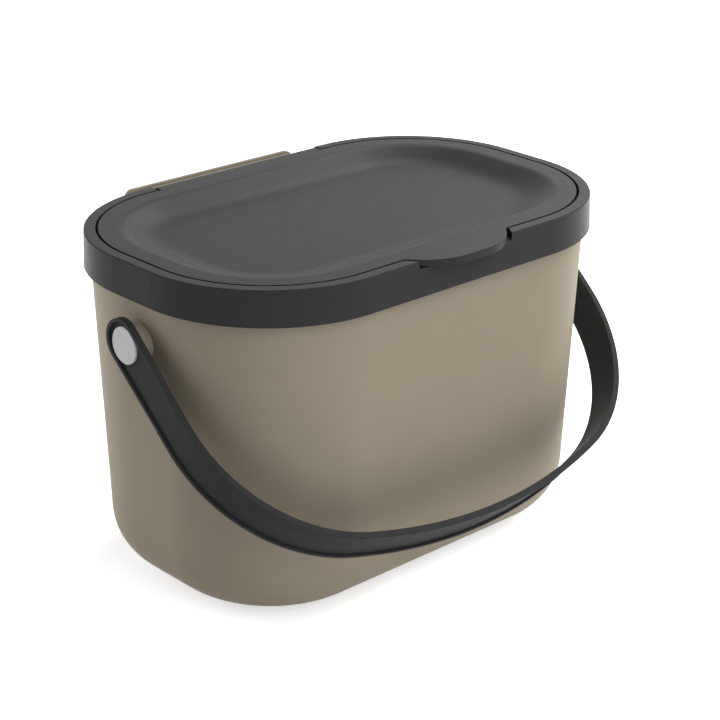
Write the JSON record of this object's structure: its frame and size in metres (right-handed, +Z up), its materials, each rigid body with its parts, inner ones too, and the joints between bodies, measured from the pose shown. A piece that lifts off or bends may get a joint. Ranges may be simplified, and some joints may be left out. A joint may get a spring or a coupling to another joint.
{
  "type": "recycling bin",
  "caption": "Oblong kitchen bin for food scraps: tapered tub with a rear hanging hook, lift-off rim frame, hinged dished lid with a finger tab and a swinging strap handle.",
  "frame": {"origin": "middle of the tub's base on the surface that the bin stands on", "axes": "+X along the bin's length to its right end seen from the front, +Y to the back with the hinge and the hook, +Z up"},
  "size_m": [0.2844, 0.2282, 0.181],
  "materials": {
    "tub_plastic": "satin",
    "lid_plastic": "fine matte grain",
    "handle_plastic": "satin",
    "button_plastic": "semi-gloss"
  },
  "bodies": {
    "bin": {"tub": "tub_plastic", "right_pivot_button": "button_plastic", "left_pivot_button": "button_plastic"},
    "frame": {"rim_frame": "lid_plastic"},
    "lid": {"lid": "lid_plastic"},
    "handle": {"carry_handle": "handle_plastic"}
  },
  "joints": [
    {"name": "frame_lift", "type": "slide", "parent": "bin", "child": "frame", "axis": [0, 0, 1], "range_m": [0, 0.02]},
    {"name": "lid_hinge", "type": "hinge", "parent": "frame", "child": "lid", "pos_m": [0, 0.0853, 0.1787], "axis": [-1, 0, 0], "range_deg": [0, 105]},
    {"name": "handle_swing", "type": "hinge", "parent": "bin", "child": "handle", "pos_m": [0, 0, 0.141], "axis": [-1, 0, 0], "range_deg": [-7, 150]}
  ]
}
